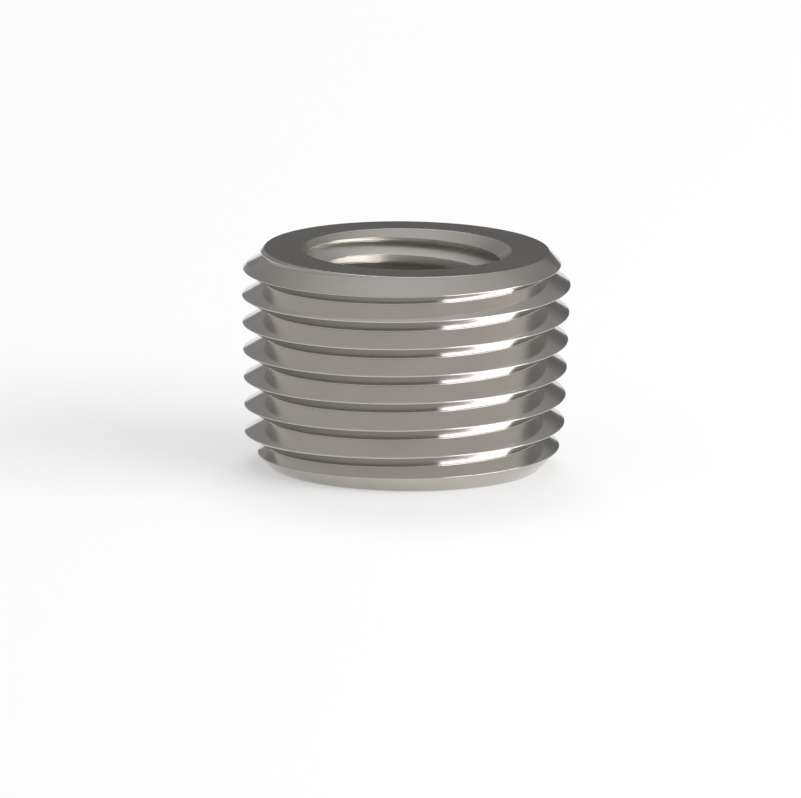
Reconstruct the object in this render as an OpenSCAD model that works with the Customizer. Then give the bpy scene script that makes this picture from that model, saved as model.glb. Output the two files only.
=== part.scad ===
// Threaded reducing bushing: a turned steel ring with a coarse taper thread outside and a finer one inside.
// It stands on its small end, with the thread axis along +Z and the middle of the small end at the origin.

/* [Body] */
// Length from the small end to the large end
length = 14.29; // [12:0.01:18]
// Wall between the bottoms of the outer and the inner thread, at the large end
wall = 2.52; // [1.6:0.01:3.4]
// Length of drilled hole left plain at the small end
drill_land = 2.6; // [2:0.1:4]
// Width of the 45 degree chamfer round the hole at the small end
small_mouth_chamfer = 0.5; // [0.2:0.05:0.8]
// How far each chamfer and countersink runs past the thread that it clears
edge_clear = 0.03; // [0.02:0.01:0.2]

/* [Outer thread] */
// Pitch of the outer thread, 14 threads to the inch
outer_pitch = 1.814; // [1.5:0.001:2.2]
// Pitch diameter of the outer thread at the small end
outer_pitch_d = 19.26; // [16:0.01:24]
// Depth of the first outer crest below the large end, on the +X side
outer_crest_drop = 0.44; // [0.3:0.01:1.4]

/* [Inner thread] */
// Pitch of the inner thread, 18 threads to the inch
inner_pitch = 1.411; // [1.2:0.001:1.7]
// How much narrower the drilled hole is than the crests of the inner thread at the large end
drill_under = 0.22; // [0.1:0.01:0.5]
// Depth of the first inner groove below the large end, on the +X side
inner_groove_drop = 1.2; // [0.6:0.01:1.3]
// Depth of the inner grooves where they start, just above the plain drilled hole
lead_start = 0.1; // [0.05:0.01:0.3]
// Growth in depth of the inner grooves for each unit of height, until they reach full depth
lead_slope = 0.35; // [0.2:0.05:1]

/* [Thread form] */
// Taper of both threads, as growth in diameter for each unit of length
taper_slope = 0.0625; // [0.03:0.0005:0.08]
// Share of the pitch cut off each sharp crest and root
truncation = 0.025; // [0.02:0.005:0.06]
// Straight steps in one turn of a thread
steps = 60; // [40:4:64]

/* [Hidden] */
$fn = 120;

// Half of the 60 degree angle between the flanks
half_angle = 30;
// Height of the truncated 60 degree profile, and the width of its flat crests and roots
function thread_depth(pitch) = pitch * (0.5 / tan(half_angle) - 2 * truncation);
function flat_width(pitch) = 2 * truncation * pitch * tan(half_angle);
// Radius of a thread's pitch line at height z, from its radius at the small end
function line_r(pitch_r, z) = pitch_r + z * taper_slope / 2;

outer_depth = thread_depth(outer_pitch);
inner_depth = thread_depth(inner_pitch);
outer_pitch_r = outer_pitch_d / 2;
outer_root_r = line_r(outer_pitch_r, length) - outer_depth / 2;
// The inner thread lies one wall inside the outer one, and has the same taper
inner_groove_r = outer_root_r - wall;
inner_crest_r = inner_groove_r - inner_depth;
inner_pitch_r = line_r(inner_groove_r - inner_depth / 2, -length);
drill_r = inner_crest_r - drill_under / 2;

// Both end faces stop just inside the root of the outer thread, where the outer chamfers start
small_face_r = outer_pitch_r - outer_depth / 2 - edge_clear;
large_face_r = outer_root_r - edge_clear;
// The bar that the bushing is turned from clears every crest
bar_r = outer_root_r + 1.5 * outer_depth;
// The countersink at the large end opens just past the bottom of the inner grooves
large_mouth_r = inner_groove_r + edge_clear;

// The flat-sided thread core just clears the round drilled hole
tapped_core_r = drill_r / cos(180 / steps) + edge_clear;
// Each cutter reaches one pitch past the face that it opens
reach = outer_pitch;

// Solid with a right-hand helical ridge, reaching past the heights bottom and top by part of a turn.
// pitch_r is the pitch radius at the small end, and crest_z the height of a crest on the +X side.
// The roots stay outside core_r. Where lead_z is given, the crests grow out of the core from that height up.
module taper_thread(pitch, pitch_r, crest_z, bottom, top, core_r = 0, lead_z = undef) {
    half_depth = thread_depth(pitch) / 2;
    half_flat = flat_width(pitch) / 2;
    spare_turns = ceil((crest_z - bottom) / pitch) + 1;
    first_root_z = crest_z - pitch * (spare_turns + 0.5);
    rows = steps * ceil((top - first_root_z) / pitch + 0.25);

    function root_z(n) = first_root_z + pitch * n / steps;
    function lead_r(z) = core_r + lead_start + max(0, z - lead_z) * lead_slope;
    // Point of the profile at step n, from its radius and height
    function spun(n, r, z) = [r * cos(360 * n / steps), r * sin(360 * n / steps), z];
    // One pitch of the profile at step n: both corners of a root, then both corners of the crest above it.
    // A corner that is held back slides along its flank, which widens the flat.
    function corners(n) =
        let (low_z = root_z(n))
        let (high_z = low_z + pitch / 2)
        let (root_r = line_r(pitch_r, low_z) - half_depth)
        let (crest_r = line_r(pitch_r, high_z) + half_depth)
        let (low_r = max(root_r, core_r))
        let (high_r = is_undef(lead_z) ? crest_r : min(crest_r, lead_r(high_z)))
        let (low_half = half_flat + (low_r - root_r) * tan(half_angle))
        let (high_half = half_flat + (crest_r - high_r) * tan(half_angle))
        [
            spun(n, low_r, low_z - low_half),
            spun(n, low_r, low_z + low_half),
            spun(n, high_r, high_z - high_half),
            spun(n, high_r, high_z + high_half)
        ];
    // Corner j at step n, where corner 4 is the first corner one turn up
    function at(n, j) = j < 4 ? 4 * n + j : 4 * (n + steps);

    points = [for (n = [0 : rows + steps]) each corners(n)];
    low_centre = [0, 0, root_z(steps / 2)];
    high_centre = [0, 0, root_z(rows + steps / 2)];
    // Edge of the ridge's first turn, and of its last turn, each closed down the profile
    function turn_edge(n) = concat([for (i = [0 : steps]) at(n + i, 0)], [for (j = [3 : -1 : 0]) at(n, j)]);
    low_edge = turn_edge(0);
    high_edge = turn_edge(rows);

    flanks = [
        for (n = [0 : rows - 1], j = [0 : 3])
        each [[at(n, j), at(n, j + 1), at(n + 1, j + 1)], [at(n, j), at(n + 1, j + 1), at(n + 1, j)]]
    ];
    low_cap = [for (i = [0 : len(low_edge) - 2]) [len(points), low_edge[i], low_edge[i + 1]]];
    high_cap = [for (i = [0 : len(high_edge) - 2]) [len(points) + 1, high_edge[i + 1], high_edge[i]]];
    polyhedron(points = concat(points, [low_centre, high_centre]), faces = concat(flanks, low_cap, high_cap));
}

// Bar turned to length, with a 45 degree chamfer round each end, then threaded along its whole length
module threaded_bar() {
    intersection() {
        rotate_extrude()
            polygon([
                [0, 0],
                [small_face_r, 0],
                [bar_r, bar_r - small_face_r],
                [bar_r, length - (bar_r - large_face_r)],
                [large_face_r, length],
                [0, length]
            ]);
        taper_thread(outer_pitch, outer_pitch_r, length - outer_crest_drop, 0, length);
    }
}

// Inner thread cut down from the large end, stopping short of the small end
module tapped_length() {
    intersection() {
        taper_thread(
            inner_pitch, inner_pitch_r, length - inner_groove_drop, drill_land, length,
            core_r = tapped_core_r, lead_z = drill_land
        );
        translate([0, 0, drill_land])
            cylinder(r = bar_r, h = length);
    }
}

// Plain end of the drilled hole, with its chamfered mouth at the small end
module drilled_length() {
    mouth_r = drill_r + small_mouth_chamfer;
    mouth_top = small_mouth_chamfer + drill_r / 10;
    translate([0, 0, -reach])
        cylinder(r = drill_r, h = drill_land + 2 * reach);
    translate([0, 0, -reach])
        cylinder(r1 = mouth_r + reach, r2 = mouth_r - mouth_top, h = mouth_top + reach);
}

// 45 degree countersink at the large end
module countersink() {
    depth = large_mouth_r - drill_r + reach / 4;
    translate([0, 0, length - depth])
        cylinder(r1 = large_mouth_r - depth, r2 = large_mouth_r + reach, h = depth + reach);
}

module bushing() {
    color("gray")
        difference() {
            threaded_bar();
            tapped_length();
            drilled_length();
            countersink();
        }
}

bushing();
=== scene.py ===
import math

import bpy
import numpy as np
from mathutils import Matrix, Vector


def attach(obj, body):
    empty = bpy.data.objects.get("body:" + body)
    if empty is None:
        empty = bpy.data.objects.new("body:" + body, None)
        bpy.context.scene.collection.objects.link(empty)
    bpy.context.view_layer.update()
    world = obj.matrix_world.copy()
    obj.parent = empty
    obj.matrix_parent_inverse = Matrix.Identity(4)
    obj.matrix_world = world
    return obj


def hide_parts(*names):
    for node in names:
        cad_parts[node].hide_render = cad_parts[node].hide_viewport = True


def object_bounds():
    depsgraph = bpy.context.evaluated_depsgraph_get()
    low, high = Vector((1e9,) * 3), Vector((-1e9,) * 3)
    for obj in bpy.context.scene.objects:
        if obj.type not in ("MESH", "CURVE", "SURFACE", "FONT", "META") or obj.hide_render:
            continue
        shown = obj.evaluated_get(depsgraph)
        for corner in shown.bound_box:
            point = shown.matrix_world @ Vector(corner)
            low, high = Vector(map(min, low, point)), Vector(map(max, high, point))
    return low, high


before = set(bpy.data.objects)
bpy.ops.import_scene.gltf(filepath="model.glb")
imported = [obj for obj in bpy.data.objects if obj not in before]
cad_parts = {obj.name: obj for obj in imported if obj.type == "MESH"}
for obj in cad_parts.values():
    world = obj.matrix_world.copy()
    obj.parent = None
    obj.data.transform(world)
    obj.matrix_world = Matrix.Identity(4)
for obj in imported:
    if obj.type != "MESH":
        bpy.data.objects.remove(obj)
cad_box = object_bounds()

# Driving sizes of the bushing, in metres
MM = 0.001
LENGTH = cad_box[1].z - cad_box[0].z
WALL = 2.52 * MM
DRILL_LAND = 2.6 * MM
SMALL_MOUTH_CHAMFER = 0.5 * MM
EDGE_CLEAR = 0.03 * MM
OUTER_PITCH = 1.814 * MM
OUTER_PITCH_R = 19.26 / 2 * MM
OUTER_CREST_DROP = 0.44 * MM
INNER_PITCH = 1.411 * MM
DRILL_UNDER = 0.22 * MM
INNER_GROOVE_DROP = 1.2 * MM
LEAD_START = 0.1 * MM
LEAD_SLOPE = 0.35
TAPER_SLOPE = 0.0625
TRUNCATION = 0.025
HALF_ANGLE = math.radians(30)

# Fineness of the mesh: sections round the axis, and the most that one step of a rounded edge turns
SECTIONS = 360
ARC_STEP = math.radians(30.5)
# Half turns of a thread that are drawn above its first crest, to reach past the large end
HALF_TURNS_ABOVE = 6
# A corner that turns by less is taken as straight, and one at the end of a shorter side is left out
SMALLEST_TURN = math.radians(1)
SMALLEST_SIDE = 0.0005 * MM
# Two corners become one if their side is shorter than this share of what their rounding takes up
SWALLOWED = 1.05
# They stay apart if the one corner would turn by more than this
LARGEST_TURN = math.radians(150)
# Share of a side that the rounding at one of its ends may take
ROUND_SHARE = 0.45
# Height of the unit normals of the thread flanks and the rounding next to them, and of the flat ends
FLANK_TILT = (0.78, 0.95)
FLAT_TILT = 0.99
# How much more than the rounding beside them the flat ends count in the shading
FLAT_WEIGHT = 100
# Area, doubled, of a triangle in the rounding: larger ones count no more than this
ROUND_SIZE = 0.002 * MM * MM


def sharp_height(pitch):
    """Height of the 60 degree profile before its crests and roots are rounded."""
    return pitch / 2 / math.tan(HALF_ANGLE)


def thread_depth(pitch):
    return sharp_height(pitch) - 2 * TRUNCATION * pitch


def line_r(pitch_r, z):
    """Radius of a thread's pitch line at height z, from its radius at the small end."""
    return pitch_r + z * TAPER_SLOPE / 2


# Sizes that follow from the driving ones
OUTER_ROOT_R = line_r(OUTER_PITCH_R, LENGTH) - thread_depth(OUTER_PITCH) / 2
INNER_GROOVE_R = OUTER_ROOT_R - WALL
INNER_PITCH_R = line_r(INNER_GROOVE_R - thread_depth(INNER_PITCH) / 2, -LENGTH)
DRILL_R = INNER_GROOVE_R - thread_depth(INNER_PITCH) - DRILL_UNDER / 2
SMALL_FACE_R = OUTER_PITCH_R - thread_depth(OUTER_PITCH) / 2 - EDGE_CLEAR
LARGE_FACE_R = OUTER_ROOT_R - EDGE_CLEAR
LARGE_MOUTH_R = INNER_GROOVE_R + EDGE_CLEAR
# A sharp crest rounded to this radius ends where the truncated one does
OUTER_ROUND = TRUNCATION * OUTER_PITCH
INNER_ROUND = TRUNCATION * INNER_PITCH


# Section lines: rows of (height, radius), rising from the small end to the large end
def radius_at(line, z):
    return np.interp(z, line[:, 0], line[:, 1])


def whole_length(line):
    """The part of a section line that lies between the two ends."""
    inside = line[(line[:, 0] > 0) & (line[:, 0] < LENGTH)]
    ends = np.array([[z, radius_at(line, z)] for z in (0, LENGTH)])
    return np.vstack([ends[:1], inside, ends[1:]])


def thread_line(pitch, pitch_r, crest_z, turn):
    """Section line of a sharp right-hand thread after a part of a turn from the +X side."""
    half_turns = np.arange(-math.ceil(2 * LENGTH / pitch), HALF_TURNS_ABOVE)
    z = crest_z + pitch * (turn + half_turns / 2)
    side = np.where(half_turns % 2 == 0, 1, -1)
    return whole_length(np.column_stack([z, line_r(pitch_r, z) + side * sharp_height(pitch) / 2]))


def limit_line(pitch, pitch_r, side):
    """Section line along the truncated crests (side 1) or roots (side -1) of a thread."""
    return np.array([[z, line_r(pitch_r, z) + side * thread_depth(pitch) / 2] for z in (0, LENGTH)])


def envelope(pick, *lines):
    """The lowest or highest of several section lines, with a point at each corner and crossing."""
    result = lines[0]
    for line in lines[1:]:
        z = np.union1d(result[:, 0], line[:, 0])
        gap = radius_at(result, z) - radius_at(line, z)
        below = np.flatnonzero(gap[:-1] * gap[1:] < 0)
        step = z[below + 1] - z[below]
        crossings = z[below] + step * gap[below] / (gap[below] - gap[below + 1])
        z = np.union1d(z, crossings)
        result = np.column_stack([z, pick(radius_at(result, z), radius_at(line, z))])
    return result


def outer_line(turn):
    """Outer thread, cut at both ends by 45 degree chamfers."""
    thread = thread_line(OUTER_PITCH, OUTER_PITCH_R, LENGTH - OUTER_CREST_DROP, turn)
    thread = envelope(np.maximum, thread, limit_line(OUTER_PITCH, OUTER_PITCH_R, -1))
    small_chamfer = np.array([[0, SMALL_FACE_R], [LENGTH, SMALL_FACE_R + LENGTH]])
    large_chamfer = np.array([[0, LARGE_FACE_R + LENGTH], [LENGTH, LARGE_FACE_R]])
    return envelope(np.minimum, thread, small_chamfer, large_chamfer)


def inner_line(turn):
    """Drilled hole with its two mouths, and the inner thread that grows out of it."""
    groove = thread_line(INNER_PITCH, INNER_PITCH_R, LENGTH - INNER_GROOVE_DROP, turn)
    groove = envelope(np.minimum, groove, limit_line(INNER_PITCH, INNER_PITCH_R, 1))
    lead_z = DRILL_LAND - LEAD_START / LEAD_SLOPE
    lead_end_r = DRILL_R + (LENGTH - lead_z) * LEAD_SLOPE
    lead = np.array([[0, DRILL_R], [lead_z, DRILL_R], [LENGTH, lead_end_r]])
    drill = np.array([[0, DRILL_R], [LENGTH, DRILL_R]])
    small_mouth = drill + [[0, SMALL_MOUTH_CHAMFER], [0, SMALL_MOUTH_CHAMFER - LENGTH]]
    large_mouth = np.array([[0, LARGE_MOUTH_R - LENGTH], [LENGTH, LARGE_MOUTH_R]])
    thread = envelope(np.minimum, groove, lead)
    return envelope(np.maximum, thread, drill, small_mouth, large_mouth)


def turns(points):
    """Angle by which a closed outline turns at each of its points."""
    into = points - np.roll(points, 1, 0)
    out = np.roll(into, -1, 0)
    return np.arctan2(into[:, 0] * out[:, 1] - into[:, 1] * out[:, 0], (into * out).sum(axis=1))


def merged(points, radii):
    """Outline without the sides that the rounding at their ends would swallow.
    The corners at the ends of such a side become one, where the sides next to it would meet."""
    n = 0
    while n + 1 < len(points):
        before, first, second, after = points[[n - 1, n, n + 1, (n + 2) % len(points)]]
        turn, next_turn = turns(points)[[n, n + 1]]
        room = radii[n] * (math.tan(abs(turn) / 2) + math.tan(abs(next_turn) / 2))
        swallowed = math.dist(first, second) < SWALLOWED * room
        if swallowed and turn * next_turn > 0 and abs(turn + next_turn) < LARGEST_TURN:
            into, out = first - before, after - second
            gap = second - before
            share = (gap[0] * out[1] - gap[1] * out[0]) / (into[0] * out[1] - into[1] * out[0])
            points[n] = before + share * into
            points, radii = np.delete(points, n + 1, 0), np.delete(radii, n + 1)
            n = max(n - 1, 0)
        else:
            n += 1
    return points, radii


def rounded(points, radii):
    """Closed outline with every corner rounded, as far as the sides next to it allow."""
    outline = []
    sides = points - np.roll(points, 1, 0)
    next_sides = np.roll(sides, -1, 0)
    for corner, into, out, radius, turn in zip(points, sides, next_sides, radii, turns(points)):
        side_in, side_out = math.hypot(*into), math.hypot(*out)
        slope = math.tan(abs(turn) / 2)
        reach = min(radius * slope, ROUND_SHARE * side_in, ROUND_SHARE * side_out)
        start = corner - into / side_in * reach
        left = np.array([-into[1], into[0]]) / side_in
        arm = -left * math.copysign(reach / slope, turn)
        steps = math.ceil(abs(turn) / ARC_STEP)
        for step in range(steps + 1):
            sine, cosine = math.sin(turn * step / steps), math.cos(turn * step / steps)
            spun = [arm[0] * cosine - arm[1] * sine, arm[0] * sine + arm[1] * cosine]
            outline.append(start - arm + spun)
    return np.array(outline)


def section(turn):
    """Outline of the steel in the half plane at this part of a turn, as rows of (height, radius)."""
    outer, inner = outer_line(turn), inner_line(turn)[::-1]
    points = np.vstack([outer, inner])
    radii = np.repeat([OUTER_ROUND, INNER_ROUND], [len(outer), len(inner)])
    apart = np.linalg.norm(points - np.roll(points, 1, 0), axis=1) > SMALLEST_SIDE
    points, radii = points[apart], radii[apart]
    real = np.abs(turns(points)) > SMALLEST_TURN
    return rounded(*merged(points[real], radii[real]))


def strip(first, second):
    """Triangles between two closed outlines that start at the same corner, always by the shorter diagonal.
    Each is three pairs of (0 for the first outline or 1 for the second, point)."""
    a, b = first.tolist() + [first[0].tolist()], second.tolist() + [second[0].tolist()]
    i = j = 0
    triangles = []
    while i < len(first) or j < len(second):
        both = i < len(first) and j < len(second)
        on_a = math.dist(a[i + 1], b[j]) < math.dist(a[i], b[j + 1]) if both else i < len(first)
        tip = (0, i + 1) if on_a else (1, j + 1)
        triangles.append(((0, i), (1, j), tip))
        i, j = (i + 1, j) if on_a else (i, j + 1)
    return triangles


def face_normals(points, faces):
    """Normal of each triangle, as long as twice its area."""
    corners = points[faces]
    return np.cross(corners[:, 1] - corners[:, 0], corners[:, 2] - corners[:, 0])


def tilt(normals):
    """Height of each unit normal, up or down."""
    return np.abs(normals[:, 2]) / np.linalg.norm(normals, axis=1)


def point_normals(points, faces):
    """Shading normal at each point, from the triangles round it.
    The flat ends outweigh the rounding beside them. Large triangles count no more than small ones elsewhere,
    which crowns the flanks a little."""
    normals = face_normals(points, faces)
    size = np.linalg.norm(normals, axis=1)
    weight = np.minimum(size, ROUND_SIZE) * np.where(tilt(normals) > FLAT_TILT, FLAT_WEIGHT, 1)
    shares = normals * (weight / size)[:, None]
    sums = np.zeros_like(points)
    np.add.at(sums, faces.ravel(), np.repeat(shares, 3, axis=0))
    return sums / np.linalg.norm(sums, axis=1, keepdims=True)


def finishes(points, faces):
    """Place in FINISHES of each triangle: turned faces, then flanks of the outer and of the inner thread."""
    radius = np.linalg.norm(points[faces].mean(axis=1)[:, :2], axis=1)
    thread = np.where(radius > OUTER_ROOT_R - WALL / 2, 1, 2)
    rise = tilt(face_normals(points, faces))
    return np.where((rise > FLANK_TILT[0]) & (rise < FLANK_TILT[1]), thread, 0)


def bushing_mesh():
    """Closed mesh of the bushing, spun section by section round the axis."""
    outlines = [section(n / SECTIONS) for n in range(SECTIONS)]
    first_point = np.cumsum([0] + [len(o) for o in outlines])
    points = []
    for n, outline in enumerate(outlines):
        angle = 2 * math.pi * n / SECTIONS
        points += [(r * math.cos(angle), r * math.sin(angle), z) for z, r in outline]
    faces = []
    for n in range(SECTIONS):
        pair = (n, (n + 1) % SECTIONS)
        for triangle in strip(outlines[pair[0]], outlines[pair[1]]):
            faces.append([first_point[pair[k]] + i % len(outlines[pair[k]]) for k, i in triangle])
    mesh = bpy.data.meshes.new("bushing_turned")
    mesh.from_pydata(points, [], faces)
    mesh.shade_smooth()
    points, faces = np.array(points), np.array(faces)
    mesh.normals_split_custom_set_from_vertices(point_normals(points, faces))
    for name, *look in FINISHES:
        mesh.materials.append(steel(name, *look))
    mesh.polygons.foreach_set("material_index", finishes(points, faces))
    return mesh


# Materials: name, colour, roughness, size and depth of the tool marks, and how far they climb with height
FINISHES = (
    # The turned faces' steel is a little darker than the thread steel: painted shade that dims their
    # reflections, the bottom chamfer's most of all
    ("turned_steel", (0.53, 0.503, 0.47), 0.13, 0.11 * MM, 0.0007 * MM, 2),
    ("threaded_steel", (0.555, 0.532, 0.505), 0.13, 0.16 * MM, 0.001 * MM, 0),
    # The inner thread's steel is painted lighter than the outer thread's: painted light that lifts the shade
    # in the grooves of the bore
    ("tapped_steel", (0.6, 0.578, 0.552), 0.32, 0.16 * MM, 0.001 * MM, 0),
)
# Colour of the outer thread's crests, partly worn bright and partly a painted highlight along them, and how
# far down from their tops it reaches
CREST_WEAR_AND_HIGHLIGHT = (0.66, 0.64, 0.61)
CREST_WEAR_AND_HIGHLIGHT_DEPTH = 0.09 * MM
# Sizes of the soft clouds and of the fine grain in the steel
HAZE_SIZE = 3.2 * MM
GRAIN_SIZE = 0.16 * MM
# How much lighter and darker than its mean colour the steel gets in the clouds
CLOUDING = 0.05
# How far the roughness strays to either side in the clouds, the tool marks and the grain
HAZE_ROUGHNESS = 0.05
MARK_ROUGHNESS = 0.03
GRAIN_ROUGHNESS = 0.02


class Nodes:
    """Short calls to make and join the nodes of one tree."""

    def __init__(self, tree):
        self.tree = tree
        tree.nodes.clear()

    def add(self, kind, inputs=(), **settings):
        node = self.tree.nodes.new(kind)
        for name, value in settings.items():
            setattr(node, name, value)
        for name, value in dict(inputs).items():
            if isinstance(value, bpy.types.NodeSocket):
                self.tree.links.new(value, node.inputs[name])
            else:
                node.inputs[name].default_value = value
        return node

    def math(self, operation, *values, clamp=False):
        node = self.add("ShaderNodeMath", dict(enumerate(values)), operation=operation, use_clamp=clamp)
        return node.outputs[0]

    def noise(self, size, detail, **where):
        """Noise with features of about this size, in metres."""
        inputs = {"Scale": 1 / size, "Detail": detail, **where}
        dimensions = "1D" if "W" in where else "3D"
        return self.add("ShaderNodeTexNoise", inputs, noise_dimensions=dimensions).outputs["Fac"]

    def mix_colour(self, factor, first, second):
        # Several sockets of a Mix node share a name, so its factor and its two colours go by number
        node = self.add("ShaderNodeMix", {0: factor, 6: first, 7: second}, data_type="RGBA")
        return node.outputs[2]

    def spread(self, value, middle, reach):
        """A value from 0 to 1, moved to the range that reaches this far to both sides of the middle."""
        inputs = {"Value": value, "To Min": middle - reach, "To Max": middle + reach}
        return self.add("ShaderNodeMapRange", inputs).outputs[0]

    def along(self, vector, way):
        """How far a vector points along a fixed way."""
        node = self.add("ShaderNodeVectorMath", {0: vector, 1: way}, operation="DOT_PRODUCT")
        return node.outputs["Value"]


def toned(colour, factor):
    """A colour made lighter or darker, with an alpha of 1."""
    return (*(c * factor for c in colour), 1)


def steel(name, colour, roughness, mark_size, mark_depth, climb):
    """Bright turned steel. Its tool marks follow the distance from the axis, plus climb times the height."""
    material = bpy.data.materials.new(name)
    material.use_nodes = True
    nodes = Nodes(material.node_tree)
    place = nodes.add("ShaderNodeTexCoord").outputs["Object"]
    height = nodes.add("ShaderNodeSeparateXYZ", {0: place}).outputs["Z"]
    flat = nodes.add("ShaderNodeVectorMath", {0: place, 1: (1, 1, 0)}, operation="MULTIPLY").outputs[0]
    radius = nodes.add("ShaderNodeVectorMath", {0: flat}, operation="LENGTH").outputs["Value"]

    lay = nodes.math("MULTIPLY_ADD", height, climb, radius)
    marks = nodes.noise(mark_size, detail=2, W=lay)
    haze = nodes.noise(HAZE_SIZE, detail=4, Vector=place)
    grain = nodes.noise(GRAIN_SIZE, detail=3, Vector=place)

    # Crests painted lighter, partly rubbed bright and partly a painted highlight along them: 0 below the
    # band of the outer crests, 1 at their tops
    crest_start_r = OUTER_PITCH_R + thread_depth(OUTER_PITCH) / 2
    crest_r = nodes.math("MULTIPLY_ADD", height, TAPER_SLOPE / 2, crest_start_r)
    band = {"Value": nodes.math("SUBTRACT", crest_r, radius), "From Min": CREST_WEAR_AND_HIGHLIGHT_DEPTH, "From Max": 0.0}
    crest_wear_and_highlight = nodes.add("ShaderNodeMapRange", band).outputs[0]

    plain = nodes.mix_colour(haze, toned(colour, 1 - CLOUDING), toned(colour, 1 + CLOUDING))
    tint = nodes.mix_colour(crest_wear_and_highlight, plain, toned(CREST_WEAR_AND_HIGHLIGHT, 1))
    rough = nodes.spread(haze, roughness, HAZE_ROUGHNESS)
    rough = nodes.math("ADD", rough, nodes.spread(marks, 0, MARK_ROUGHNESS))
    rough = nodes.math("ADD", rough, nodes.spread(grain, 0, GRAIN_ROUGHNESS))
    cut = nodes.add("ShaderNodeBump", {"Height": marks, "Strength": 1.0, "Distance": mark_depth})
    shader = nodes.add(
        "ShaderNodeBsdfPrincipled",
        {"Base Color": tint, "Metallic": 1.0, "Roughness": rough, "Normal": cut.outputs[0]},
    )
    nodes.add("ShaderNodeOutputMaterial", {"Surface": shader.outputs[0]})
    return material


def make_bushing():
    mesh = bushing_mesh()
    bushing = bpy.data.objects.new("bushing_turned", mesh)
    bpy.context.scene.collection.objects.link(bushing)
    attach(bushing, "root")
    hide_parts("bushing")


# Floor, a little below the small end
FLOOR_R = 3.0
FLOOR_CORNERS = 96
FLOOR_DROP = 0.01 * MM
FLOOR_COLOUR = (0.93, 0.93, 0.93, 1)
# Share of plain white in what cameras and reflections see of the floor
FLOOR_GLOW = 0.4


def make_floor():
    """Pale floor. Cameras and reflections see it partly as plain white, over its shadow."""
    circle = [2 * math.pi * n / FLOOR_CORNERS for n in range(FLOOR_CORNERS)]
    mesh = bpy.data.meshes.new("floor")
    points = [(FLOOR_R * math.cos(a), FLOOR_R * math.sin(a), -FLOOR_DROP) for a in circle]
    mesh.from_pydata(points, [], [list(range(FLOOR_CORNERS))])
    material = bpy.data.materials.new("pale_floor")
    material.use_nodes = True
    nodes = Nodes(material.node_tree)
    ray = nodes.add("ShaderNodeLightPath").outputs
    seen = nodes.math("ADD", ray["Is Camera Ray"], ray["Is Glossy Ray"])
    seen = nodes.math("ADD", seen, ray["Is Transmission Ray"], clamp=True)
    share = nodes.math("MULTIPLY", seen, FLOOR_GLOW)
    lit = nodes.add("ShaderNodeBsdfDiffuse", {"Color": FLOOR_COLOUR}).outputs[0]
    glow = nodes.add("ShaderNodeEmission", {"Color": (1, 1, 1, 1), "Strength": 1.0}).outputs[0]
    both = nodes.add("ShaderNodeMixShader", {0: share, 1: lit, 2: glow}).outputs[0]
    nodes.add("ShaderNodeOutputMaterial", {"Surface": both})
    mesh.materials.append(material)
    floor = bpy.data.objects.new("floor", mesh)
    bpy.context.scene.collection.objects.link(floor)


# Light: the brightest part of the studio's surround
SKY_POLE = Vector((0, -0.35, 0.937)).normalized()
# Brightness of the surround at a few heights, from straight away from the pole (-1) to the pole (1)
SKY = ((-1.0, 0.36), (0.0, 0.32), (0.22, 0.36), (0.5, 0.47), (0.78, 0.6), (1.0, 0.7))
# Dark card behind the bushing: its middle, its share of the light around it, and the angles of its soft edge
CARD = Vector((0.09, 0.975, 0.205)).normalized()
CARD_SHARE = 0.48
CARD_EDGE = (math.radians(8), math.radians(25))
# Brightness below the horizon, where the pale floor seems to go on past its edge
GROUND = 0.87


def make_sky():
    """Soft studio surround, brightest overhead and a little to the front, with the dark card in it."""
    world = bpy.data.worlds.new("studio")
    bpy.context.scene.world = world
    world.use_nodes = True
    nodes = Nodes(world.node_tree)
    direction = nodes.add("ShaderNodeTexCoord").outputs["Generated"]
    # The ramp runs from 0 to 1, where the height runs from -1 to 1
    height = nodes.along(direction, SKY_POLE)
    ramp = nodes.add("ShaderNodeValToRGB", {0: nodes.math("MULTIPLY_ADD", height, 0.5, 0.5)})
    stops = ramp.color_ramp.elements
    while len(stops) < len(SKY):
        stops.new(0.5)
    for stop, (level, brightness) in zip(stops, SKY):
        stop.position = (level + 1) / 2
        stop.color = (brightness, brightness, brightness, 1)
    inner_edge, outer_edge = CARD_EDGE
    card = {
        "Value": nodes.along(direction, CARD),
        "From Min": math.cos(outer_edge),
        "From Max": math.cos(inner_edge),
        "To Min": 1.0,
        "To Max": CARD_SHARE,
    }
    strength = nodes.add("ShaderNodeMapRange", card, interpolation_type="SMOOTHSTEP").outputs[0]
    rise = nodes.add("ShaderNodeSeparateXYZ", {0: direction}).outputs["Z"]
    below = nodes.math("LESS_THAN", rise, 0.0)
    colour = nodes.mix_colour(below, ramp.outputs[0], (GROUND, GROUND, GROUND, 1))
    strength = nodes.math("MAXIMUM", strength, below)
    background = nodes.add("ShaderNodeBackground", {"Color": colour, "Strength": strength})
    nodes.add("ShaderNodeOutputWorld", {"Surface": background.outputs[0]})


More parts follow.
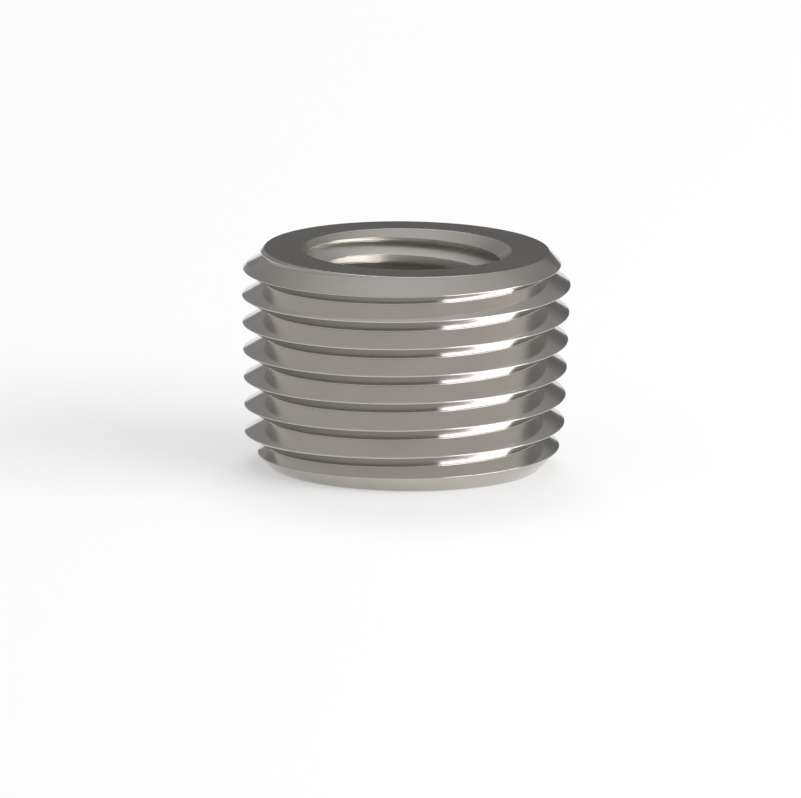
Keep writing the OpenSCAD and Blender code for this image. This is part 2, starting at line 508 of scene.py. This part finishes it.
def make_softbox(name, azimuth, elevation, distance, width, height, radiance):
    """Flat lamp that faces the bushing. Azimuth 0 is on the -Y side and 90 on the +X side, in degrees."""
    a, e = math.radians(azimuth), math.radians(elevation)
    back = Vector((math.sin(a) * math.cos(e), -math.cos(a) * math.cos(e), math.sin(e)))
    side = Vector((math.cos(a), math.sin(a), 0))
    lamp = bpy.data.lights.new(name, "AREA")
    lamp.shape = "RECTANGLE"
    lamp.size, lamp.size_y = width, height
    # The brightness of an area lamp's face is a quarter of its power over its area
    lamp.energy = 4 * width * height * radiance
    box = bpy.data.objects.new(name, lamp)
    turned = Matrix((side, back.cross(side), back)).transposed().to_4x4()
    box.matrix_world = Matrix.Translation(Vector((0, 0, LENGTH / 2)) + back * distance) @ turned
    box.visible_camera = False
    bpy.context.scene.collection.objects.link(box)


def make_lights():
    make_sky()
    make_softbox("key", azimuth=65, elevation=28, distance=0.6, width=0.7, height=0.17, radiance=6.2)
    make_softbox("back", azimuth=180, elevation=52, distance=0.9, width=0.4, height=0.4, radiance=3.4)


# Camera: width of the picture at the bushing, distance, and the photo's viewing angle
VIEW_WIDTH = 52.33 * MM
CAMERA_DISTANCE = 1.8
CAMERA_RISE = math.radians(11.64)
CAMERA_ROLL = math.radians(0.73)
# Where the middle of the picture lies from the bushing's middle: to the left, and down
AIM_LEFT = 0.31 * MM
AIM_DOWN = 2.79 * MM


def make_camera():
    back = Vector((0, -math.cos(CAMERA_RISE), math.sin(CAMERA_RISE)))
    level = Vector((1, 0, 0))
    upright = back.cross(level)
    right = level * math.cos(CAMERA_ROLL) + upright * math.sin(CAMERA_ROLL)
    up = back.cross(right)
    aim = Vector((0, 0, LENGTH / 2)) - right * AIM_LEFT - up * AIM_DOWN
    data = bpy.data.cameras.new("camera")
    data.lens = data.sensor_width * CAMERA_DISTANCE / VIEW_WIDTH
    camera = bpy.data.objects.new("camera", data)
    turned = Matrix((right, up, back)).transposed().to_4x4()
    camera.matrix_world = Matrix.Translation(aim + back * CAMERA_DISTANCE) @ turned
    bpy.context.scene.collection.objects.link(camera)
    bpy.context.scene.camera = camera


make_bushing()
make_floor()
make_lights()
make_camera()
bpy.context.scene.view_settings.view_transform = "Standard"
